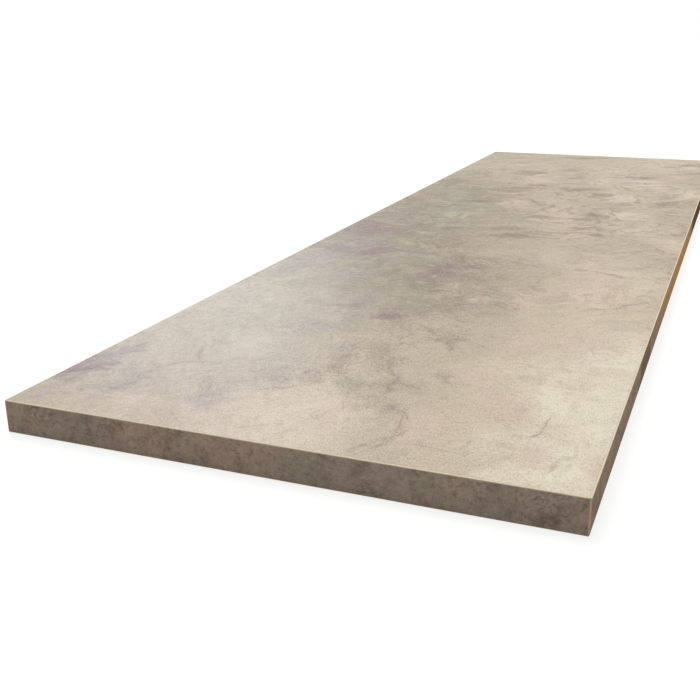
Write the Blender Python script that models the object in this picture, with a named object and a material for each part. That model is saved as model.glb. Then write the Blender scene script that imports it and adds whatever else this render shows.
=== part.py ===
"""Square-edged laminate worktop, lying flat.

A chipboard core carries a decorative laminate on top and a balancing sheet underneath. Plastic edging closes
all four sides: the two end strips are glued on first, and the long strips then lap over their ends.

Metres, +Z up. X runs along the worktop and -Y is its front edge. The origin is the middle of the underside.
"""

import math

import bmesh
import bpy

# Overall size of the finished worktop
LENGTH = 2.200
DEPTH = 0.635
THICKNESS = 0.038

# The layers and the edging
TOP_LAMINATE = 0.0008
BACKING_SHEET = 0.0006
EDGING = 0.0015
GLUE_LINE = 0.0003

# The rounding milled along every outer edge of the edging
ARRIS_RADIUS = 0.0012
ARRIS_SEGMENTS = 4
MOST_OF_EDGING = 0.9

# Base colour, roughness and metallic value of each material
STONE_DECOR = ("stone_decor", (0.58, 0.50, 0.41), 0.38, 0.0)
EDGING_DECOR = ("edging_decor", (0.33, 0.27, 0.22), 0.42, 0.0)
CHIPBOARD = ("chipboard", (0.55, 0.40, 0.24), 0.85, 0.0)
BACKING_PAPER = ("backing_paper", (0.42, 0.36, 0.29), 0.70, 0.0)


def clear_scene():
    for obj in list(bpy.data.objects):
        bpy.data.objects.remove(obj, do_unlink=True)


def material(name, colour, roughness, metallic):
    """A Principled material, made once and then shared by name."""
    found = bpy.data.materials.get(name)
    if found:
        return found
    made = bpy.data.materials.new(name)
    made.use_nodes = True
    shader = made.node_tree.nodes["Principled BSDF"]
    shader.inputs["Base Color"].default_value = (*colour, 1.0)
    shader.inputs["Roughness"].default_value = roughness
    shader.inputs["Metallic"].default_value = metallic
    made.diffuse_color = (*colour, 1.0)
    return made


def block(size):
    """A rectangular block about its own centre, as a bmesh."""
    shape = bmesh.new()
    bmesh.ops.create_cube(shape, size=1.0)
    bmesh.ops.scale(shape, vec=size, verts=shape.verts)
    return shape


def place(name, shape, location, parent, finish, turn=0.0):
    """Turns a bmesh into a named object, turned about Z and set at its place on the worktop."""
    mesh = bpy.data.meshes.new(name)
    shape.to_mesh(mesh)
    shape.free()
    mesh.materials.append(material(*finish))
    obj = bpy.data.objects.new(name, mesh)
    bpy.context.scene.collection.objects.link(obj)
    obj.location = location
    obj.rotation_euler = (0.0, 0.0, turn)
    obj.parent = parent
    return obj


def weigh_arrises(strip, ends_show):
    """Marks the edges of a strip that get rounded, which lie on its outer side, local -Y.

    Where the strip's ends show, all but the four edges of its glued face are rounded. Where they are lapped,
    only the two long outer edges are.
    """
    weight = strip.edges.layers.float.new("bevel_weight_edge")
    for edge in strip.edges:
        start, end = (vertex.co for vertex in edge.verts)
        on_glued_face = start.y > 0 and end.y > 0
        on_outer_face = start.y < 0 and end.y < 0
        along_strip = start.x * end.x < 0
        rounded = not on_glued_face if ends_show else on_outer_face and along_strip
        edge[weight] = 1.0 if rounded else 0.0


def edging_strip(name, run, location, parent, turn, ends_show):
    """A strip of edging with its outer arrises rounded. Before its turn it runs along X and faces -Y."""
    strip = block((run, EDGING, THICKNESS))
    weigh_arrises(strip, ends_show)
    obj = place(name, strip, location, parent, EDGING_DECOR, turn)
    arris = obj.modifiers.new("arris", "BEVEL")
    arris.limit_method = "WEIGHT"
    arris.width = min(ARRIS_RADIUS, MOST_OF_EDGING * EDGING)
    arris.segments = ARRIS_SEGMENTS
    return obj


def board(name, low, high, plan, parent, finish):
    """A flat sheet or board of the core's plan, from height low to height high."""
    shape = block((*plan, high - low))
    return place(name, shape, (0.0, 0.0, (low + high) / 2), parent, finish)


def layers(parent):
    """The core with its balancing sheet below and its laminate above, all cut to one plan inside the edging."""
    inset = EDGING + GLUE_LINE
    plan = (LENGTH - 2 * inset, DEPTH - 2 * inset)
    core_bottom = BACKING_SHEET + GLUE_LINE
    laminate_bottom = THICKNESS - TOP_LAMINATE
    core_top = laminate_bottom - GLUE_LINE
    board("backing_sheet", 0.0, BACKING_SHEET, plan, parent, BACKING_PAPER)
    board("core_board", core_bottom, core_top, plan, parent, CHIPBOARD)
    board("top_laminate", laminate_bottom, THICKNESS, plan, parent, STONE_DECOR)


def edging(parent):
    """The four strips. The end strips stop short of the long ones, which run the whole length."""
    middle_height = THICKNESS / 2
    long_offset = (DEPTH - EDGING) / 2
    end_offset = (LENGTH - EDGING) / 2
    end_run = DEPTH - 2 * (EDGING + GLUE_LINE)
    for name, side, turn in (("front_edging", -1, 0.0), ("rear_edging", 1, math.pi)):
        location = (0.0, side * long_offset, middle_height)
        edging_strip(name, LENGTH, location, parent, turn, ends_show=True)
    for name, side in (("left_end_edging", -1), ("right_end_edging", 1)):
        location = (side * end_offset, 0.0, middle_height)
        edging_strip(name, end_run, location, parent, side * math.pi / 2, ends_show=False)


def main():
    clear_scene()
    worktop = bpy.data.objects.new("worktop", None)
    bpy.context.scene.collection.objects.link(worktop)
    layers(worktop)
    edging(worktop)


main()
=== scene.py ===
"""The looks of a stone-look laminate worktop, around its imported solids.

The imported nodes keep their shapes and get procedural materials. Thin glue lines fill the joints that the
solids leave open. Metres, +Z up: X runs along the worktop from its left end, and +Y points to its rear edge.
"""

import functools
import math
from types import SimpleNamespace

import bmesh
import bpy
from mathutils import Matrix, Vector


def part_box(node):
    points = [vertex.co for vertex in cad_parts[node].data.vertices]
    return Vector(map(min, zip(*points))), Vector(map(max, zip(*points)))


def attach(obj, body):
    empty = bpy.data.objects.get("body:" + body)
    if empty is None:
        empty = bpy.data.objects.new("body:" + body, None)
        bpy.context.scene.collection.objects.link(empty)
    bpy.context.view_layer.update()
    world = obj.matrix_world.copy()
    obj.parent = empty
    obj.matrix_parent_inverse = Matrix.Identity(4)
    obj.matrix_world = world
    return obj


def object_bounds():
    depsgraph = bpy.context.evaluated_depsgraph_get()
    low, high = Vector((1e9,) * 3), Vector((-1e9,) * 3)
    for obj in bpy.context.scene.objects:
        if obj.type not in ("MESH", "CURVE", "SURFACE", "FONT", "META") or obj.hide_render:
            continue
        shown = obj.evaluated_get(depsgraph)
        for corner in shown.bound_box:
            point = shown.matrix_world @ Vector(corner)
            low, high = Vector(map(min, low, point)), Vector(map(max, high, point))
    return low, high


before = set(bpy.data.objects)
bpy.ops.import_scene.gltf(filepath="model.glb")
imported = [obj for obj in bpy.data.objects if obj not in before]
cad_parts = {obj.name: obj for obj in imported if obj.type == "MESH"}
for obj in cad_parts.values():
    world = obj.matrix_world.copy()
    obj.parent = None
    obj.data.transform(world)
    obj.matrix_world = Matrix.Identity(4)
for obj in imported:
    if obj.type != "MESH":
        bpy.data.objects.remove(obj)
CAD_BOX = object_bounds()

bpy.context.scene.view_settings.view_transform = "Standard"

LEFT_END, _, UNDERSIDE = CAD_BOX[0]
RIGHT_END, REAR_EDGE, TOP_FACE = CAD_BOX[1]

# Camera
CAMERA_PLACE = (-1.872, -0.4085, 0.4316)
CAMERA_HEADING = math.radians(22.24)
CAMERA_TILT = math.radians(-18.91)
CAMERA_ROLL = math.radians(-0.47)
LENS_MM = 49.86


def seen(red, green, blue):
    """A colour given as a screen shows it, 0 to 255, as the linear values that shaders take."""
    linear = []
    for value in (red, green, blue):
        share = value / 255
        linear.append(share / 12.92 if share <= 0.04045 else ((share + 0.055) / 1.055) ** 2.4)
    return (*linear, 1.0)


# Tones of the stone decor on the top
STONE = seen(175, 158, 135)
STONE_CREAM = seen(230, 222, 200)
STONE_LIGHT = seen(206, 190, 167)
STONE_BUFF = seen(226, 207, 171)
STONE_SAND = seen(190, 171, 146)
STONE_MIST = seen(164, 152, 133)
STONE_PINK = seen(204, 180, 163)
STONE_PALE = seen(187, 180, 156)
STONE_GREEN = seen(147, 140, 116)
STONE_LILAC = seen(150, 134, 128)
STONE_MAUVE = seen(115, 83, 87)
STONE_DARK = seen(126, 105, 84)
# A darker tone, partly the stone's own and partly painted shade
STONE_DARK_AND_SHADE = seen(126, 113, 88)
STONE_VEIN = seen(100, 84, 73)
STONE_SPECK = seen(82, 70, 61)

# The stone flows along the top at the first angle, and is creased at the second. Each angle comes with the
# number of times that its patches are longer than wide.
FLOW = (math.radians(13), 1.7)
CREASES = (math.radians(-62), 1.5)

# Patches of the top: distance along from the left end, distance in from the rear edge, and half width. The
# creased ones lie along the creases, and the others along the flow.
# Broad dark patches through the middle: partly darker stone and partly painted shade
DARK_STONE_AND_SHADE_PATCHES = (
    (0.95, 0.08, 0.350),
    (0.66, 0.25, 0.210),
    (1.35, 0.10, 0.260),
)
MIST_PATCHES = (
    (0.40, 0.120, 0.170),
    (0.62, 0.060, 0.120),
)
# Paler patches; those along the near front are partly paler stone and partly painted light
LIGHT_PATCHES = (
    (0.14, 0.590, 0.260),
    (0.45, 0.590, 0.210),
    (0.74, 0.570, 0.150),
    (0.06, 0.330, 0.130),
    (2.10, 0.510, 0.160),
    (1.73, 0.490, 0.110),
    (1.51, 0.465, 0.080),
    (1.60, 0.610, 0.070),
    (1.90, 0.395, 0.080),
    (1.73, 0.410, 0.070),
    (0.52, 0.610, 0.100),
    (0.294, 0.486, 0.070),
    (1.16, 0.545, 0.075),
    (1.05, 0.610, 0.060),
    (1.294, 0.514, 0.065),
    (0.64, 0.530, 0.095),
)
CREASED_DARK_PATCHES = (
    (1.530, 0.200, 0.085),
    (1.610, 0.260, 0.036),
    (1.036, 0.335, 0.060),
    (0.815, 0.280, 0.050),
    (1.515, 0.405, 0.042),
    (1.273, 0.445, 0.046),
    (1.132, 0.430, 0.030),
    (1.368, 0.189, 0.050),
    (1.460, 0.575, 0.055),
    (1.812, 0.489, 0.034),
    (1.575, 0.366, 0.040),
    (1.074, 0.480, 0.026),
    (1.585, 0.020, 0.080),
    (1.350, 0.015, 0.060),
    (1.800, 0.190, 0.045),
    (1.880, 0.280, 0.045),
    (1.690, 0.110, 0.045),
    (1.929, 0.580, 0.050),
    (1.222, 0.340, 0.036),
    (1.085, 0.170, 0.045),
    (1.074, 0.300, 0.040),
    (2.080, 0.585, 0.040),
    (2.155, 0.285, 0.045),
    (1.286, 0.096, 0.045),
)
CREASED_MAUVE_PATCHES = (
    (0.978, 0.128, 0.026),
    (0.832, 0.145, 0.060),
    (1.025, 0.025, 0.090),
    (0.970, 0.055, 0.060),
    (1.010, 0.075, 0.045),
    (1.062, 0.190, 0.030),
    (0.755, 0.280, 0.040),
    (0.705, 0.262, 0.034),
    (0.830, 0.040, 0.060),
    (0.452, 0.290, 0.024),
    (0.120, 0.008, 0.028),
)
# Cream patches along the near front: partly cream stone and partly painted light
CREAM_PATCHES = (
    (0.19, 0.610, 0.130),
    (0.05, 0.580, 0.080),
    (0.36, 0.620, 0.080),
)
SAND_PATCHES = (
    (2.005, 0.347, 0.120),
    (2.10, 0.500, 0.080),
    (1.305, 0.366, 0.045),
    (1.43, 0.345, 0.060),
    (1.19, 0.506, 0.060),
    (1.76, 0.433, 0.080),
    (1.65, 0.455, 0.065),
    (1.92, 0.190, 0.090),
)
PALE_PATCHES = (
    (0.270, 0.170, 0.050),
    (0.88, 0.435, 0.070),
    (0.96, 0.545, 0.070),
)
PINK_PATCHES = (
    (0.044, 0.120, 0.035),
    (0.045, 0.240, 0.050),
    (0.255, 0.462, 0.030),
    (0.575, 0.376, 0.028),
    (0.776, 0.528, 0.055),
    (0.66, 0.525, 0.075),
    (0.593, 0.454, 0.040),
    (0.43, 0.560, 0.060),
    (0.40, 0.485, 0.050),
    (0.18, 0.505, 0.045),
    (0.099, 0.455, 0.040),
    (0.074, 0.556, 0.040),
    (0.09, 0.342, 0.045),
    (1.07, 0.430, 0.055),
    (1.23, 0.385, 0.065),
    (1.36, 0.255, 0.060),
    (1.70, 0.250, 0.080),
    (1.45, 0.570, 0.060),
    (1.65, 0.550, 0.060),
    (1.92, 0.555, 0.060),
)
GREEN_PATCHES = (
    (0.577, 0.258, 0.035),
    (0.518, 0.305, 0.035),
    (0.386, 0.253, 0.032),
    (0.80, 0.200, 0.055),
    (0.178, 0.340, 0.028),
    (0.567, 0.386, 0.050),
    (1.10, 0.200, 0.095),
    (1.30, 0.140, 0.150),
    (1.50, 0.080, 0.120),
    (1.17, 0.300, 0.040),
    (1.75, 0.050, 0.090),
    (2.10, 0.050, 0.080),
)
LILAC_PATCHES = (
    (0.100, 0.008, 0.055),
    (0.165, 0.035, 0.055),
    (0.135, 0.072, 0.055),
    (0.085, 0.215, 0.035),
    (0.190, 0.240, 0.040),
    (0.354, 0.208, 0.040),
    (0.305, 0.289, 0.032),
    (0.505, 0.221, 0.050),
    (0.64, 0.140, 0.060),
    (0.72, 0.060, 0.065),
    (0.865, 0.090, 0.065),
)
MAUVE_PATCHES = (
    (0.715, 0.272, 0.042),
    (0.455, 0.290, 0.034),
    (0.628, 0.309, 0.020),
    (0.115, 0.012, 0.055),
    (0.170, 0.035, 0.036),
)
DARK_PATCHES = (
    (0.146, 0.370, 0.042),
    (0.195, 0.388, 0.034),
    (0.255, 0.360, 0.034),
    (0.305, 0.333, 0.030),
    (0.246, 0.303, 0.036),
    (0.190, 0.282, 0.026),
    (0.236, 0.432, 0.022),
    (0.119, 0.401, 0.018),
    (0.470, 0.225, 0.024),
    (0.375, 0.385, 0.026),
    (0.60, 0.350, 0.040),
    (0.594, 0.300, 0.030),
    (0.528, 0.290, 0.032),
    (0.707, 0.345, 0.040),
    (0.787, 0.310, 0.050),
    (0.943, 0.238, 0.036),
)
PEPPER_PATCHES = (
    (0.20, 0.290, 0.045),
    (0.31, 0.265, 0.045),
    (0.77, 0.325, 0.060),
    (0.67, 0.155, 0.040),
    (0.26, 0.360, 0.050),
)

# Veins of the top, each an arc through three points, given as distance along from the left end and distance
# in from the rear edge
THIN_VEINS = (
    ((0.082, 0.011), (0.097, 0.021), (0.111, 0.039)),
    ((0.059, 0.077), (0.103, 0.093), (0.156, 0.107)),
    ((0.156, 0.107), (0.178, 0.127), (0.195, 0.159)),
    ((0.184, 0.141), (0.216, 0.120), (0.249, 0.109)),
    ((0.100, 0.241), (0.135, 0.253), (0.162, 0.282)),
    ((0.468, 0.140), (0.473, 0.210), (0.525, 0.245)),
    ((0.013, 0.403), (0.075, 0.440), (0.133, 0.370)),
    ((0.133, 0.370), (0.220, 0.383), (0.300, 0.340)),
    ((0.358, 0.361), (0.378, 0.388), (0.380, 0.419)),
    ((0.389, 0.383), (0.362, 0.394), (0.333, 0.406)),
    ((0.628, 0.240), (0.607, 0.262), (0.578, 0.276)),
    ((0.131, 0.385), (0.122, 0.420), (0.091, 0.446)),
    ((0.091, 0.446), (0.064, 0.441), (0.045, 0.418)),
    ((0.045, 0.418), (0.028, 0.409), (0.011, 0.405)),
    ((0.257, 0.438), (0.231, 0.437), (0.213, 0.433)),
    ((0.833, 0.349), (0.814, 0.388), (0.778, 0.422)),
    ((0.545, 0.518), (0.605, 0.570), (0.655, 0.619)),
    ((0.060, 0.008), (0.113, 0.016), (0.148, 0.048)),
    ((0.546, 0.331), (0.542, 0.365), (0.570, 0.394)),
    ((0.697, 0.335), (0.686, 0.360), (0.700, 0.380)),
)
THICK_VEINS = (
    ((0.966, 0.198), (0.953, 0.238), (0.932, 0.279)),
    ((1.465, 0.264), (1.380, 0.294), (1.349, 0.316)),
    ((1.360, 0.312), (1.358, 0.339), (1.318, 0.366)),
    ((1.327, 0.426), (1.245, 0.455), (1.158, 0.452)),
    ((1.158, 0.452), (1.120, 0.429), (1.100, 0.404)),
    ((1.126, 0.419), (1.145, 0.448), (1.197, 0.472)),
    ((1.550, 0.379), (1.531, 0.408), (1.475, 0.443)),
    ((1.584, 0.177), (1.557, 0.232), (1.589, 0.279)),
    ((1.493, 0.531), (1.487, 0.585), (1.518, 0.634)),
    ((1.677, 0.300), (1.659, 0.340), (1.704, 0.374)),
    ((1.042, 0.299), (1.018, 0.340), (1.040, 0.373)),
    ((0.996, 0.330), (1.003, 0.299), (1.037, 0.261)),
    ((1.770, 0.275), (1.748, 0.309), (1.794, 0.340)),
    ((1.665, 0.445), (1.637, 0.495), (1.683, 0.537)),
    ((1.661, 0.117), (1.605, 0.170), (1.662, 0.212)),
    ((1.824, 0.472), (1.801, 0.504), (1.899, 0.533)),
    ((1.987, 0.507), (2.040, 0.547), (2.080, 0.567)),
    ((0.805, 0.475), (0.793, 0.500), (0.800, 0.519)),
    ((0.800, 0.519), (0.775, 0.544), (0.760, 0.574)),
    ((1.363, 0.175), (1.348, 0.206), (1.382, 0.225)),
    ((0.850, 0.153), (0.845, 0.187), (0.863, 0.211)),
)
FINE_VEINS = (
    ((0.186, 0.561), (0.143, 0.556), (0.095, 0.544)),
    ((0.420, 0.345), (0.395, 0.372), (0.340, 0.372)),
    ((0.395, 0.372), (0.385, 0.420), (0.350, 0.442)),
    ((0.520, 0.330), (0.480, 0.372), (0.430, 0.392)),
    ((0.640, 0.420), (0.590, 0.440), (0.520, 0.430)),
)

# Half widths of the veins
FINE_VEIN = 0.0010
THIN_VEIN = 0.0018
THICK_VEIN = 0.0050

# Where fine crazing covers the stone of the top: along, inward and half width as before
CRAZED_PATCHES = (
    (0.22, 0.315, 0.090),
    (0.40, 0.330, 0.110),
    (0.60, 0.330, 0.110),
    (0.80, 0.320, 0.100),
)

# Tones of the decor printed on the edging, and of the plastic that shows on its arrises and at its cut ends:
# pale where it faces up, and a darker, pinker copy, painted shade, where it faces sideways or down
EDGE_STONE = seen(182, 162, 145)
EDGE_PINK = seen(190, 163, 145)
EDGE_GREEN = seen(168, 158, 137)
EDGE_DARK = seen(118, 102, 88)
EDGE_SPECK = seen(222, 210, 190)
EDGE_UMBER = seen(110, 84, 66)
# A gold and a black that paint a warm reflection and shade on the front edge
EDGE_GOLD_REFLECTION = seen(208, 168, 112)
EDGE_BLACK_SHADE = seen(46, 36, 28)
EDGE_PLASTIC = seen(244, 228, 204)
EDGE_PLASTIC_SHADED = seen(226, 186, 160)

# Broad bands of tone along the front edge: a darker umber band, a gold band that is a painted warm
# reflection, and a black band towards the far end that is painted shade. Each has distance along from the
# left end, half width, colour and strength
FRONT_PAINTED_BANDS = (
    (0.44, 0.080, EDGE_UMBER, 0.50),
    (0.94, 0.390, EDGE_GOLD_REFLECTION, 0.80),
    (1.50, 0.270, EDGE_BLACK_SHADE, 0.85),
)

# Tones of the hidden layers
BOARD_PALE = seen(206, 178, 134)
BOARD_DARK = seen(140, 104, 66)
PAPER_PALE = seen(176, 158, 136)
PAPER_DARK = seen(148, 130, 110)

# The glue that closes the joints between the board and its edging. It stops shy of the outer faces, keeps
# clear of the pieces beside it, and dips in the middle of its top and bottom.
GLUE_TONE = seen(196, 178, 152)
GLUE_SHY = 0.00012
GLUE_CLEARANCE = 0.00001
GLUE_DIP = 0.00006

# How strongly the surroundings light the object, and the strength of the key lamp
DAYLIGHT = 0.46
KEY_STRENGTH = 1.8

# The floor: its half size, its gap under the worktop, the grey that throws light back on the worktop, and the
# grey and the glow that the camera sees
FLOOR_HALF_SIZE = 14.0
FLOOR_GAP = 0.0005
FLOOR_GREY = (0.45, 0.45, 0.45, 1.0)
FLOOR_SEEN_GREY = (0.28, 0.28, 0.28, 1.0)
FLOOR_GLOW = 0.80

# A size so much larger than the worktop that dividing by it leaves nothing
FLAT = 1000.0

# A vein fades towards its ends, between two distances from its middle that are these shares of half its span.
# The whole fade adds this many half widths to the distance from the vein.
VEIN_FADE_START = 0.6
VEIN_FADE_END = 1.2
VEIN_FADE = 6.0

# Patches melt together where their distances, in half widths, differ by less than this.
PATCH_BLEND = 0.4

# The creases of the top are faint at the left end, with this share of their strength, and grow to their full
# strength between these distances along from it
FAINT_CREASES = 0.15
CREASES_START = 0.20
CREASES_FULL = 1.15

# The grain of the top is weaker by the rear edge, with this share of its strength, and grows to its full
# strength between these distances in from it
WEAK_GRAIN = 0.62
GRAIN_START = 0.12
GRAIN_FULL = 0.34


class Graph:
    """Adds nodes to a node tree. Each method returns an output, and takes numbers, tuples or outputs."""

    def __init__(self, tree):
        self.tree = tree

    def add(self, kind, inputs=None, **settings):
        """One node, with its settings, and with its inputs by name or number."""
        node = self.tree.nodes.new(kind)
        for name, value in settings.items():
            setattr(node, name, value)
        for key, value in (inputs or {}).items():
            self.feed(node.inputs[key], value)
        return node

    def feed(self, socket, value):
        """Links an output to an input, or sets the input's value."""
        if isinstance(value, bpy.types.NodeSocket):
            self.tree.links.new(value, socket)
        else:
            socket.default_value = value

    def place(self):
        """The point being shaded, in its object's own axes, which are those of the shared frame."""
        return self.add("ShaderNodeTexCoord").outputs["Object"]

    def maths(self, operation, first, second=0.0, third=0.0):
        node = self.add("ShaderNodeMath", {0: first, 1: second, 2: third}, operation=operation)
        return node.outputs[0]

    def product(self, first, *others):
        return functools.reduce(lambda left, right: self.maths("MULTIPLY", left, right), others, first)

    def vector(self, operation, first, second=(0.0, 0.0, 0.0)):
        return self.add("ShaderNodeVectorMath", {0: first, 1: second}, operation=operation).outputs[0]

    def fit(self, value, low, high, to_low=0.0, to_high=1.0):
        """Eases a value from the range low to high into the range to_low to to_high, and holds it there."""
        inputs = {0: value, 1: low, 2: high, 3: to_low, 4: to_high}
        return self.add("ShaderNodeMapRange", inputs, interpolation_type="SMOOTHSTEP").outputs[0]

    def noise(self, place, size, detail=2.0, roughness=0.5):
        """Noise with blotches of about that size."""
        inputs = {"Vector": place, "Scale": 1 / size, "Detail": detail, "Roughness": roughness}
        return self.add("ShaderNodeTexNoise", inputs).outputs["Fac"]

    def contour(self, noise, level, half_width):
        """1 along the lines where a noise passes a level, and 0 where it is off by the half width or more."""
        off = self.maths("ABSOLUTE", self.maths("SUBTRACT", noise, level))
        return self.fit(off, half_width, 0.3 * half_width)

    def borders(self, place, size):
        """Distance to the nearest border between cells of about that size, as a share of the size."""
        inputs = {"Vector": place, "Scale": 1 / size}
        return self.add("ShaderNodeTexVoronoi", inputs, feature="DISTANCE_TO_EDGE").outputs["Distance"]

    def dots(self, place, size):
        """Distance to the nearest of a scatter of points, as a share of their spacing."""
        return self.add("ShaderNodeTexVoronoi", {"Vector": place, "Scale": 1 / size}).outputs["Distance"]

    def along(self, place):
        """How far the place lies along the worktop, as its X."""
        return self.add("ShaderNodeSeparateXYZ", {0: place}).outputs["X"]

    def across(self, place):
        """How far the place lies across the worktop, as its Y."""
        return self.add("ShaderNodeSeparateXYZ", {0: place}).outputs["Y"]

    def shifted(self, place, offset):
        return self.vector("ADD", place, offset)

    def stretched(self, place, scale):
        return self.vector("MULTIPLY", place, scale)

    def warped(self, place, size, reach, detail=2.0):
        """The place pushed about by noise, up to that reach, so that what is drawn on it wanders."""
        inputs = {"Vector": place, "Scale": 1 / size, "Detail": detail}
        wander = self.add("ShaderNodeTexNoise", inputs).outputs["Color"]
        centred = self.vector("SUBTRACT", wander, (0.5, 0.5, 0.5))
        return self.vector("ADD", place, self.vector("MULTIPLY", centred, (2 * reach, 2 * reach, 2 * reach)))

    def mix(self, amount, first, second):
        """Two colours mixed by an amount from 0 to 1."""
        return self.add("ShaderNodeMix", {0: amount, 6: first, 7: second}, data_type="RGBA").outputs[2]

    def distance(self, place, point):
        """Distance from the place to a point."""
        return self.add("ShaderNodeVectorMath", {0: place, 1: point}, operation="DISTANCE").outputs["Value"]

    def arc(self, place, start, middle, end, half_width):
        """Distance in half widths to the arc through three points, with the fade towards its ends added."""
        centre, radius = circle_through(start, middle, end)
        reach = (end - start).length / 2
        off = self.maths("ABSOLUTE", self.maths("SUBTRACT", self.distance(place, centre), radius))
        away = self.distance(place, middle)
        past = self.fit(away, VEIN_FADE_START * reach, VEIN_FADE_END * reach, 0.0, VEIN_FADE)
        return self.maths("MULTIPLY_ADD", off, 1 / half_width, past)

    def least(self, values, blend=0.0):
        """The lowest of some values, compared in pairs. Values closer than the blend melt together."""
        values = list(values)
        while len(values) > 1:
            odd = values[len(values) // 2 * 2:]
            pairs = zip(values[::2], values[1::2])
            values = [self.maths("SMOOTH_MIN", first, second, blend) for first, second in pairs] + odd
        return values[0]


def circle_through(start, middle, end):
    """The centre and the radius of the level circle through three points of equal height."""
    first, second = middle - start, end - start
    turn = 2 * (first.x * second.y - first.y * second.x)
    across = (second.y * first.length_squared - first.y * second.length_squared) / turn
    along = (first.x * second.length_squared - second.x * first.length_squared) / turn
    centre = start + Vector((across, along, 0.0))
    return centre, (start - centre).length


def new_material(name):
    """An empty Principled material, its graph and its shader."""
    material = bpy.data.materials.new(name)
    material.use_nodes = True
    shader = material.node_tree.nodes["Principled BSDF"]
    return material, Graph(material.node_tree), shader


def on_top(along, inward):
    """The point of the top face that lies that far from the left end and from the rear edge."""
    return Vector((LEFT_END + along, REAR_EDGE - inward, TOP_FACE))


def drawn_out(graph, place, flow):
    """The place in a plane in which the long patches of that flow are round."""
    turn, stretch = flow
    inputs = {"Vector": place, "Rotation": (0.0, 0.0, turn), "Scale": (stretch, 1.0, FLAT)}
    return graph.add("ShaderNodeMapping", inputs, vector_type="TEXTURE").outputs[0]


def point_drawn_out(point, flow):
    """The same for a point of the top."""
    turn, stretch = flow
    turned = Matrix.Rotation(-turn, 3, "Z") @ point
    return Vector((turned.x / stretch, turned.y, turned.z / FLAT))


def patches(graph, drawn, patch_list, flow=FLOW):
    """1 in the middle of each patch, 0 at its rim and less beyond, with neighbours melted together."""
    distances = []
    for along, inward, half_width in patch_list:
        away = graph.distance(drawn, point_drawn_out(on_top(along, inward), flow))
        distances.append(graph.maths("DIVIDE", away, half_width))
    return graph.maths("SUBTRACT", 1.0, graph.least(distances, PATCH_BLEND))


def ragged(graph, patch, noise, reach, low, high):
    """Eases a soft patch from low to high, with a noise of that reach added so that its rim is torn."""
    torn = graph.maths("MULTIPLY_ADD", noise, reach, patch)
    return graph.fit(torn, low + reach / 2, high + reach / 2)


def veins(graph, place, vein_list, half_width):
    """Distance to the nearest of some veins, in half widths."""
    arcs = []
    for points in vein_list:
        arcs.append(graph.arc(place, *(on_top(*point) for point in points), half_width))
    return graph.least(arcs)


def stone_fields(graph):
    """The places and noises that the layers of the stone decor share."""
    place = graph.place()
    slow = graph.warped(place, size=0.12, reach=0.034, detail=4.0)
    quick = graph.warped(slow, size=0.035, reach=0.009, detail=4.0)
    creased = drawn_out(graph, graph.warped(quick, size=0.13, reach=0.09, detail=3.0), CREASES)
    far = graph.fit(graph.along(place), LEFT_END + CREASES_START, LEFT_END + CREASES_FULL, FAINT_CREASES, 1.0)
    return SimpleNamespace(
        place=place,
        quick=quick,
        flow=drawn_out(graph, slow, FLOW),
        cross_flow=drawn_out(graph, slow, CREASES),
        creased=creased,
        far=far,
        crumple=graph.noise(graph.shifted(creased, (2.0, 7.0, 0.0)), size=0.052, detail=5.0, roughness=0.66),
        crease=graph.noise(graph.shifted(creased, (9.0, 3.0, 0.0)), size=0.013, detail=3.0, roughness=0.70),
        broad=graph.noise(slow, size=0.22, detail=4.0, roughness=0.55),
        blotch=graph.noise(graph.shifted(quick, (3.0, 1.0, 0.0)), size=0.075, detail=5.0, roughness=0.62),
        other=graph.noise(graph.shifted(quick, (13.0, 5.0, 0.0)), size=0.060, detail=5.0, roughness=0.62),
        middling=graph.noise(graph.shifted(quick, (8.0, 4.0, 0.0)), size=0.024, detail=4.0, roughness=0.65),
        small=graph.noise(graph.stretched(quick, (0.6, 1.0, 1.0)), size=0.0065, detail=3.0, roughness=0.65),
        grain=graph.noise(graph.stretched(place, (0.5, 1.0, 1.0)), size=0.0019, detail=3.0, roughness=0.75),
    )


def soft_tones(graph, stone):
    """Broad clouds and soft patches of paler, darker and tinted stone over the base tone. The broad dark
    patches are partly painted shade, and the pale ones along the near front partly painted light.
    """
    tone = graph.mix(graph.fit(stone.broad, 0.48, 0.70, 0.0, 0.30), STONE, STONE_SAND)
    uneven = graph.fit(stone.blotch, 0.30, 0.62, 0.7, 1.0)
    for patch_list, colour, strength in (
        (LIGHT_PATCHES, STONE_LIGHT, 0.90),
        (MIST_PATCHES, STONE_MIST, 0.80),
        (DARK_STONE_AND_SHADE_PATCHES, STONE_DARK_AND_SHADE, 0.95),
    ):
        broad = graph.maths("MULTIPLY", patches(graph, stone.flow, patch_list), uneven)
        tone = graph.mix(graph.fit(broad, 0.0, 0.80, 0.0, strength), tone, colour)
    for patch_list, noise, colour, strength in (
        (GREEN_PATCHES, stone.other, STONE_GREEN, 0.70),
        (CREAM_PATCHES, stone.blotch, STONE_CREAM, 0.85),
        (SAND_PATCHES, stone.blotch, STONE_SAND, 0.80),
        (PALE_PATCHES, stone.blotch, STONE_PALE, 0.60),
        (PINK_PATCHES, stone.other, STONE_PINK, 0.60),
        (LILAC_PATCHES, stone.blotch, STONE_LILAC, 0.62),
    ):
        patch = ragged(graph, patches(graph, stone.flow, patch_list), noise, 1.8, 0.0, 0.85)
        tone = graph.mix(graph.maths("MULTIPLY", patch, strength), tone, colour)
    return tone


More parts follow.
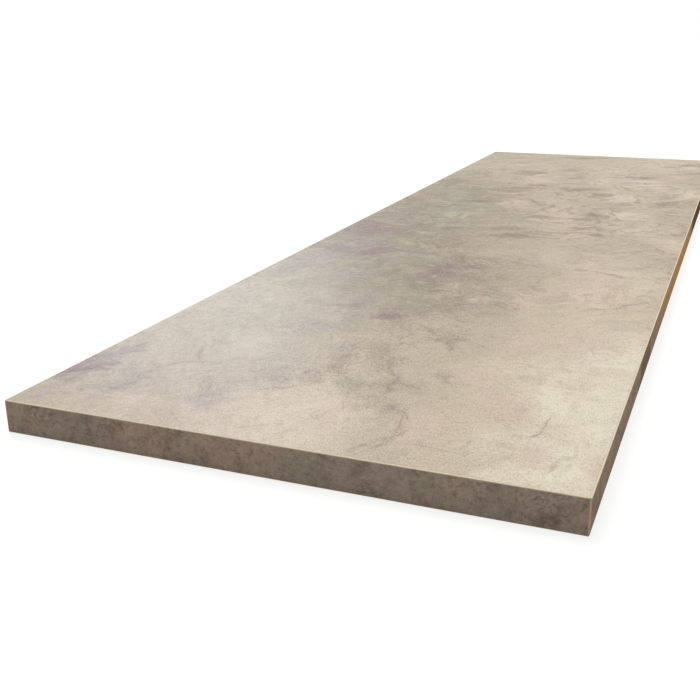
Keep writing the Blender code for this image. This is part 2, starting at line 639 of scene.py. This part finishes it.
def dark_patches(graph, stone, tone):
    """Torn mauve and brown patches. Returns the tone and how dark the patches are at each point."""
    mauve = ragged(graph, patches(graph, stone.flow, MAUVE_PATCHES), stone.blotch, 2.2, 0.0, 0.90)
    dark = ragged(graph, patches(graph, stone.flow, DARK_PATCHES), stone.other, 2.6, 0.0, 0.95)
    broken = graph.fit(stone.middling, 0.34, 0.62, 0.60, 1.0)
    mauve = graph.maths("MULTIPLY", mauve, broken)
    dark = graph.maths("MULTIPLY", dark, broken)
    tone = graph.mix(graph.maths("MULTIPLY", mauve, 0.64), tone, STONE_MAUVE)
    tone = graph.mix(graph.maths("MULTIPLY", dark, 0.45), tone, STONE_DARK)
    for patch_list, colour, strength in (
        (CREASED_MAUVE_PATCHES, STONE_MAUVE, 0.85),
        (CREASED_DARK_PATCHES, STONE_DARK, 0.80),
    ):
        patch = patches(graph, stone.cross_flow, patch_list, CREASES)
        patch = ragged(graph, patch, stone.crumple, 3.2, 0.0, 1.0)
        tone = graph.mix(graph.maths("MULTIPLY", patch, strength), tone, colour)
    return tone, graph.maths("MAXIMUM", mauve, dark)


def mottling(graph, stone, tone):
    """Uneven tone from the size of a palm down to a grain of rice."""
    for noise, darker, paler in (
        (stone.blotch, 0.16, 0.14),
        (stone.middling, 0.15, 0.18),
        (stone.small, 0.20, 0.24),
    ):
        tone = graph.mix(graph.fit(noise, 0.52, 0.74, 0.0, darker), tone, STONE_VEIN)
        tone = graph.mix(graph.fit(noise, 0.47, 0.27, 0.0, paler), tone, STONE_LIGHT)
    for noise, darker, paler in ((stone.crumple, 0.45, 0.28), (stone.crease, 0.38, 0.23)):
        dim = graph.maths("MULTIPLY", graph.fit(noise, 0.50, 0.72, 0.0, darker), stone.far)
        tone = graph.mix(dim, tone, STONE_DARK)
        bright = graph.maths("MULTIPLY", graph.fit(noise, 0.48, 0.28, 0.0, paler), stone.far)
        tone = graph.mix(bright, tone, STONE_BUFF)
    return tone


def veining(graph, stone, tone, shade):
    """Veins with a soft shadow, lines between cells, cracks in the dark patches, squiggles and wisps."""
    uneven = graph.fit(stone.middling, 0.30, 0.60, 0.30, 1.0)
    for vein_list, half_width, reach, colour, strength in (
        (FINE_VEINS, FINE_VEIN, 4.0, STONE_DARK, 0.42),
        (THIN_VEINS, THIN_VEIN, 5.5, STONE_MAUVE, 0.38),
        (THICK_VEINS, THICK_VEIN, 3.5, STONE_DARK, 0.44),
    ):
        distance = veins(graph, stone.quick, vein_list, half_width)
        tone = graph.mix(graph.product(graph.fit(distance, reach, 0.0), uneven, 0.28), tone, colour)
        tone = graph.mix(graph.product(graph.fit(distance, 1.1, 0.2), uneven, strength), tone, STONE_VEIN)
    line = graph.fit(graph.borders(stone.quick, size=0.12), 0.016, 0.003)
    tone = graph.mix(graph.product(line, graph.fit(stone.blotch, 0.48, 0.62), 0.26), tone, STONE_VEIN)
    crack = graph.fit(graph.borders(stone.quick, size=0.028), 0.045, 0.006)
    where = graph.fit(graph.maths("MULTIPLY_ADD", shade, 0.5, stone.small), 0.62, 1.00)
    tone = graph.mix(graph.product(crack, where, 0.36), tone, STONE_VEIN)
    wander = graph.noise(graph.shifted(stone.quick, (2.0, 6.0, 0.0)), size=0.026, detail=4.0, roughness=0.6)
    crazed = ragged(graph, patches(graph, stone.flow, CRAZED_PATCHES), stone.other, 1.2, 0.0, 1.0)
    squiggle = graph.product(graph.contour(wander, 0.50, 0.026), graph.fit(crazed, 0.0, 1.0, 0.10, 0.42))
    tone = graph.mix(squiggle, tone, STONE_VEIN)
    ridge = graph.product(graph.contour(wander, 0.43, 0.026), graph.fit(crazed, 0.0, 1.0, 0.06, 0.18))
    tone = graph.mix(ridge, tone, STONE_CREAM)
    bent = graph.noise(graph.shifted(stone.creased, (6.0, 3.0, 0.0)), size=0.060, detail=3.0, roughness=0.6)
    patchy = graph.fit(stone.broad, 0.40, 0.60, 0.3, 1.0)
    wisp = graph.product(graph.contour(bent, 0.50, 0.034), stone.far, patchy)
    return graph.mix(graph.maths("MULTIPLY", wisp, 0.48), tone, STONE_VEIN)


def pepper(graph, stone, tone):
    """Grain all over, coarser pepper in places, and small dark specks. Returns the tone and the specks."""
    across = graph.across(stone.place)
    much = graph.fit(across, REAR_EDGE - GRAIN_FULL, REAR_EDGE - GRAIN_START, 1.0, WEAK_GRAIN)
    dark_grain = graph.maths("MULTIPLY", graph.fit(stone.grain, 0.50, 0.74, 0.0, 0.60), much)
    pale_grain = graph.maths("MULTIPLY", graph.fit(stone.grain, 0.50, 0.28, 0.0, 0.48), much)
    tone = graph.mix(dark_grain, tone, STONE_VEIN)
    tone = graph.mix(pale_grain, tone, STONE_CREAM)
    where = ragged(graph, patches(graph, stone.flow, PEPPER_PATCHES), stone.middling, 1.6, 0.10, 0.70)
    coarse = graph.noise(graph.shifted(stone.place, (4.0, 2.0, 0.0)), size=0.0050, detail=2.0, roughness=0.7)
    dark_pepper = graph.maths("MULTIPLY", where, graph.fit(coarse, 0.54, 0.68, 0.0, 0.28))
    pale_pepper = graph.maths("MULTIPLY", where, graph.fit(coarse, 0.44, 0.32, 0.0, 0.22))
    tone = graph.mix(dark_pepper, tone, STONE_SPECK)
    tone = graph.mix(pale_pepper, tone, STONE_CREAM)
    scatter = graph.dots(graph.stretched(stone.quick, (1.0, 1.6, 1.0)), size=0.007)
    some = graph.noise(graph.shifted(stone.place, (1.0, 9.0, 0.0)), size=0.03, detail=2.0)
    speck = graph.maths("MULTIPLY", graph.fit(scatter, 0.19, 0.11), graph.fit(some, 0.46, 0.60))
    return graph.mix(graph.maths("MULTIPLY", speck, 0.34), tone, STONE_SPECK), speck


def stone_decor():
    """The top laminate: clouded beige stone with veins, cracks and specks under a satin overlay."""
    material, graph, shader = new_material("stone_decor")
    stone = stone_fields(graph)
    tone = soft_tones(graph, stone)
    tone, shade = dark_patches(graph, stone, tone)
    tone = mottling(graph, stone, tone)
    tone = veining(graph, stone, tone, shade)
    tone, speck = pepper(graph, stone, tone)
    graph.feed(shader.inputs["Base Color"], tone)
    graph.feed(shader.inputs["Roughness"], graph.fit(stone.small, 0.3, 0.7, 0.42, 0.50))
    shader.inputs["Specular IOR Level"].default_value = 0.35
    height = graph.maths("SUBTRACT", graph.maths("MULTIPLY_ADD", stone.small, 0.5, stone.grain), speck)
    bump = graph.add("ShaderNodeBump", {"Strength": 0.35, "Distance": 0.00008, "Height": height})
    graph.feed(shader.inputs["Normal"], bump.outputs[0])
    return material


def edging_decor(name, outward, painted_bands=()):
    """The edging: printed stone on the face that looks outward, with any bands given, and plain plastic on
    the rest, painted darker as shade where it does not face up.
    """
    material, graph, shader = new_material(name)
    place = graph.place()
    slow = graph.warped(place, size=0.07, reach=0.012, detail=3.0)
    quick = graph.warped(slow, size=0.015, reach=0.003, detail=3.0)

    broad = graph.noise(slow, size=0.075, detail=4.0, roughness=0.55)
    other = graph.noise(graph.shifted(slow, (4.0, 4.0, 4.0)), size=0.060, detail=4.0, roughness=0.6)
    middling = graph.noise(graph.shifted(quick, (3.0, 1.0, 2.0)), size=0.018, detail=4.0, roughness=0.65)
    small = graph.noise(graph.shifted(quick, (7.0, 2.0, 5.0)), size=0.005, detail=3.0, roughness=0.6)
    grain = graph.noise(graph.shifted(place, (5.0, 5.0, 1.0)), size=0.0022, detail=2.0, roughness=0.7)

    tone = graph.mix(graph.fit(broad, 0.46, 0.64), EDGE_STONE, EDGE_PINK)
    tone = graph.mix(graph.fit(other, 0.48, 0.64, 0.0, 0.75), tone, EDGE_GREEN)
    # Bands of tone along the edge, among them a painted reflection and painted shade
    for along, half_width, colour, strength in painted_bands:
        away = graph.maths("ABSOLUTE", graph.maths("SUBTRACT", graph.along(slow), LEFT_END + along))
        away = graph.maths("MULTIPLY_ADD", broad, 0.8 * half_width, away)
        painted_band = graph.fit(away, 1.4 * half_width, 0.8 * half_width, 0.0, strength)
        tone = graph.mix(painted_band, tone, colour)
    for noise, dark_range, darker, pale_range, paler in (
        (middling, (0.48, 0.70), 0.48, (0.46, 0.30), 0.20),
        (small, (0.50, 0.72), 0.46, (0.46, 0.26), 0.26),
        (grain, (0.50, 0.78), 0.40, (0.48, 0.22), 0.22),
    ):
        tone = graph.mix(graph.fit(noise, *dark_range, 0.0, darker), tone, EDGE_DARK)
        tone = graph.mix(graph.fit(noise, *pale_range, 0.0, paler), tone, EDGE_SPECK)
    flat = graph.stretched(quick, (0.6, 0.6, 1.0))
    wander = graph.noise(graph.shifted(flat, (2.0, 6.0, 3.0)), size=0.0085, detail=3.0)
    some = graph.fit(graph.noise(graph.shifted(slow, (1.0, 8.0, 6.0)), size=0.040, detail=2.0), 0.50, 0.60)
    tone = graph.mix(graph.product(graph.contour(wander, 0.5, 0.038), some, 0.44), tone, EDGE_DARK)
    spot = graph.fit(graph.dots(graph.shifted(quick, (2.0, 2.0, 2.0)), size=0.045), 0.045, 0.020)
    tone = graph.mix(graph.maths("MULTIPLY", spot, 0.6), tone, EDGE_SPECK)

    normal = graph.add("ShaderNodeNewGeometry").outputs["True Normal"]
    facing = graph.add("ShaderNodeVectorMath", {0: normal, 1: outward}, operation="DOT_PRODUCT")
    printed = graph.fit(facing.outputs["Value"], 0.97, 0.999)
    upward = graph.add("ShaderNodeSeparateXYZ", {0: normal}).outputs["Z"]
    # The plastic that does not face up gets a darker, pinker copy of its tone as painted shade
    plastic = graph.mix(graph.fit(upward, 0.05, 0.30), EDGE_PLASTIC_SHADED, EDGE_PLASTIC)
    plastic = graph.mix(graph.fit(small, 0.4, 0.7, 0.0, 0.12), plastic, EDGE_DARK)
    graph.feed(shader.inputs["Base Color"], graph.mix(printed, plastic, tone))
    graph.feed(shader.inputs["Roughness"], graph.fit(small, 0.3, 0.7, 0.56, 0.66))
    shader.inputs["Specular IOR Level"].default_value = 0.0
    bump = graph.add("ShaderNodeBump", {"Strength": 0.3, "Distance": 0.00006, "Height": small})
    graph.feed(shader.inputs["Normal"], bump.outputs[0])
    return material


def chipboard():
    """Pressed wood chips."""
    material, graph, shader = new_material("chipboard")
    place = graph.stretched(graph.place(), (1.0, 1.0, 2.5))
    chip = graph.noise(graph.warped(place, size=0.01, reach=0.003), size=0.006, detail=3.0, roughness=0.7)
    tone = graph.mix(graph.fit(chip, 0.35, 0.65), BOARD_PALE, BOARD_DARK)
    graph.feed(shader.inputs["Base Color"], tone)
    shader.inputs["Roughness"].default_value = 0.85
    bump = graph.add("ShaderNodeBump", {"Strength": 0.6, "Distance": 0.0003, "Height": chip})
    graph.feed(shader.inputs["Normal"], bump.outputs[0])
    return material


def backing_paper():
    """The balancing sheet: resin-soaked brown paper with long soft fibres along the worktop."""
    material, graph, shader = new_material("backing_paper")
    place = graph.place()
    cloud = graph.noise(graph.stretched(place, (0.5, 1.0, 1.0)), size=0.03, detail=4.0, roughness=0.6)
    fibre = graph.noise(graph.stretched(place, (0.12, 1.0, 1.0)), size=0.0012, detail=3.0, roughness=0.6)
    tone = graph.mix(graph.fit(cloud, 0.35, 0.65, 0.0, 0.4), PAPER_PALE, PAPER_DARK)
    tone = graph.mix(graph.fit(fibre, 0.50, 0.75, 0.0, 0.4), tone, PAPER_DARK)
    graph.feed(shader.inputs["Base Color"], tone)
    graph.feed(shader.inputs["Roughness"], graph.fit(cloud, 0.3, 0.7, 0.62, 0.74))
    bump = graph.add("ShaderNodeBump", {"Strength": 0.4, "Distance": 0.0001, "Height": fibre})
    graph.feed(shader.inputs["Normal"], bump.outputs[0])
    return material


def glue():
    """Set hot-melt glue, a little clouded."""
    material, graph, shader = new_material("glue")
    cloud = graph.noise(graph.place(), size=0.004, detail=3.0)
    tone = graph.mix(graph.fit(cloud, 0.3, 0.7, 0.0, 0.3), GLUE_TONE, EDGE_DARK)
    graph.feed(shader.inputs["Base Color"], tone)
    shader.inputs["Roughness"].default_value = 0.5
    return material


def dress(node, material):
    """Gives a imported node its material."""
    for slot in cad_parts[node].material_slots:
        slot.material = material


def dress_nodes():
    dress("top_laminate", stone_decor())
    dress("core_board", chipboard())
    dress("backing_sheet", backing_paper())
    dress("front_edging", edging_decor("front_edging", (0.0, -1.0, 0.0), FRONT_PAINTED_BANDS))
    dress("rear_edging", edging_decor("rear_edging", (0.0, 1.0, 0.0)))
    dress("left_end_edging", edging_decor("left_end_edging", (-1.0, 0.0, 0.0)))
    dress("right_end_edging", edging_decor("right_end_edging", (1.0, 0.0, 0.0)))


def add_camera():
    """The photograph's camera. It looks along the worktop from beyond its left end."""
    level = math.cos(CAMERA_TILT)
    forward = Vector((
        math.cos(CAMERA_HEADING) * level,
        math.sin(CAMERA_HEADING) * level,
        math.sin(CAMERA_TILT),
    ))
    right = forward.cross(Vector((0, 0, 1))).normalized()
    up = right.cross(forward)
    turn = Matrix((right, up, -forward)).transposed().to_4x4()
    data = bpy.data.cameras.new("camera")
    data.lens = LENS_MM
    data.clip_start = 0.01
    data.clip_end = 100.0
    camera = bpy.data.objects.new("camera", data)
    camera.matrix_world = Matrix.Translation(CAMERA_PLACE) @ turn @ Matrix.Rotation(CAMERA_ROLL, 4, "Z")
    bpy.context.scene.collection.objects.link(camera)
    bpy.context.scene.camera = camera


def seen_directly(graph):
    """1 for what the camera sees straight, in gloss or through glass, and 0 for any other light."""
    path = graph.add("ShaderNodeLightPath").outputs
    glossy = graph.maths("MAXIMUM", path["Is Glossy Ray"], path["Is Transmission Ray"])
    return graph.maths("MAXIMUM", path["Is Camera Ray"], glossy)


def add_surroundings():
    """White surroundings that light the object softly."""
    world = bpy.data.worlds.new("surroundings")
    world.use_nodes = True
    bpy.context.scene.world = world
    graph = Graph(world.node_tree)
    background = world.node_tree.nodes["Background"]
    background.inputs["Color"].default_value = (1.0, 1.0, 1.0, 1.0)
    strength = graph.fit(seen_directly(graph), 0.0, 1.0, DAYLIGHT, 1.0)
    graph.feed(background.inputs["Strength"], strength)


def add_floor():
    """A white floor that keeps a faint shadow of the worktop."""
    mesh = bpy.data.meshes.new("floor")
    shape = bmesh.new()
    bmesh.ops.create_grid(shape, x_segments=1, y_segments=1, size=FLOOR_HALF_SIZE)
    shape.to_mesh(mesh)
    shape.free()
    floor = bpy.data.objects.new("floor", mesh)
    floor.location = (0.0, 0.0, UNDERSIDE - FLOOR_GAP)
    bpy.context.scene.collection.objects.link(floor)
    material = bpy.data.materials.new("floor")
    material.use_nodes = True
    nodes = material.node_tree.nodes
    nodes.remove(nodes["Principled BSDF"])
    graph = Graph(material.node_tree)
    paint = graph.add("ShaderNodeBsdfDiffuse", {"Color": FLOOR_GREY}).outputs[0]
    seen_paint = graph.add("ShaderNodeBsdfDiffuse", {"Color": FLOOR_SEEN_GREY}).outputs[0]
    glow = graph.add("ShaderNodeEmission", {"Strength": FLOOR_GLOW}).outputs[0]
    lit = graph.add("ShaderNodeAddShader", {0: seen_paint, 1: glow}).outputs[0]
    shown = graph.add("ShaderNodeMixShader", {0: seen_directly(graph), 1: paint, 2: lit}).outputs[0]
    graph.feed(nodes["Material Output"].inputs["Surface"], shown)
    floor.data.materials.append(material)


def add_sun(name, heading, height, spread, strength, colour):
    """A soft lamp, infinitely far off, in the direction of a heading from +X and a height above the floor."""
    data = bpy.data.lights.new(name, "SUN")
    data.energy = strength
    data.angle = math.radians(spread)
    data.color = colour
    lamp = bpy.data.objects.new(name, data)
    heading, height = math.radians(heading), math.radians(height)
    towards = Vector((
        math.cos(heading) * math.cos(height),
        math.sin(heading) * math.cos(height),
        math.sin(height),
    ))
    lamp.rotation_euler = towards.to_track_quat("Z", "Y").to_euler()
    bpy.context.scene.collection.objects.link(lamp)


def add_panel(name, place, target, size, power, colour):
    """A rectangular soft lamp at a place, facing a target."""
    data = bpy.data.lights.new(name, "AREA")
    data.shape = "RECTANGLE"
    data.size, data.size_y = size
    data.energy = power
    data.color = colour
    lamp = bpy.data.objects.new(name, data)
    lamp.location = place
    lamp.rotation_euler = (Vector(place) - Vector(target)).to_track_quat("Z", "Y").to_euler()
    bpy.context.scene.collection.objects.link(lamp)


def add_lamps():
    add_sun("key", heading=40, height=62, spread=40, strength=KEY_STRENGTH, colour=(1.0, 0.985, 0.96))
    add_panel("window", place=(2.6, 2.4, 1.4), target=(-0.6, 0.2, 0.0), size=(1.6, 1.0), power=23,
              colour=(0.78, 0.89, 1.0))
    add_panel("warm_fill", place=(0.5, -1.2, 0.25), target=(0.4, -0.3, 0.02), size=(1.4, 0.3), power=2.6,
              colour=(1.0, 0.64, 0.32))


def glue_profile(half_width, bottom, top):
    """The section of a glue line: filled to its joint's sides, and dipped in the middle at top and bottom."""
    return (
        (-half_width, bottom),
        (0.0, bottom + GLUE_DIP),
        (half_width, bottom),
        (half_width, top),
        (0.0, top - GLUE_DIP),
        (-half_width, top),
    )


def add_glue_line(name, start, end, width, material):
    """A glue line of that width along a straight joint, from one plan point to another."""
    run = Vector(end) - Vector(start)
    across = Vector((-run.y, run.x)).normalized()
    profile = glue_profile(width / 2, UNDERSIDE + GLUE_SHY, TOP_FACE - GLUE_SHY)
    shape = bmesh.new()
    rings = []
    for point in (start, end):
        ring = []
        for offset, height in profile:
            plan = Vector(point) + across * offset
            ring.append(shape.verts.new((plan.x, plan.y, height)))
        rings.append(ring)
    bmesh.ops.bridge_loops(shape, edges=[
        shape.edges.new((ring[index - 1], ring[index])) for ring in rings for index in range(len(ring))
    ])
    for ring in rings:
        shape.faces.new(ring)
    bmesh.ops.recalc_face_normals(shape, faces=shape.faces)
    mesh = bpy.data.meshes.new(name)
    shape.to_mesh(mesh)
    shape.free()
    mesh.materials.append(material)
    piece = bpy.data.objects.new(name, mesh)
    bpy.context.scene.collection.objects.link(piece)
    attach(piece, "root")


def add_glue():
    """Closes the joints round the board, and those between the strips at the corners."""
    material = glue()
    board_right, board_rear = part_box("top_laminate")[1][:2]
    strip_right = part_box("right_end_edging")[0][0]
    strip_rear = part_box("rear_edging")[0][1]
    end_width = strip_right - board_right - 2 * GLUE_CLEARANCE
    side_width = strip_rear - board_rear - 2 * GLUE_CLEARANCE
    end_middle = (board_right + strip_right) / 2
    side_middle = (board_rear + strip_rear) / 2
    side_reach = RIGHT_END - GLUE_SHY
    end_reach = side_middle - side_width / 2 - GLUE_CLEARANCE
    for name, side in (("front_glue_line", -1), ("rear_glue_line", 1)):
        start = (-side_reach, side * side_middle)
        end = (side_reach, side * side_middle)
        add_glue_line(name, start, end, side_width, material)
    for name, side in (("left_end_glue_line", -1), ("right_end_glue_line", 1)):
        start = (side * end_middle, -end_reach)
        end = (side * end_middle, end_reach)
        add_glue_line(name, start, end, end_width, material)


add_camera()
add_surroundings()
add_floor()
add_lamps()
dress_nodes()
add_glue()
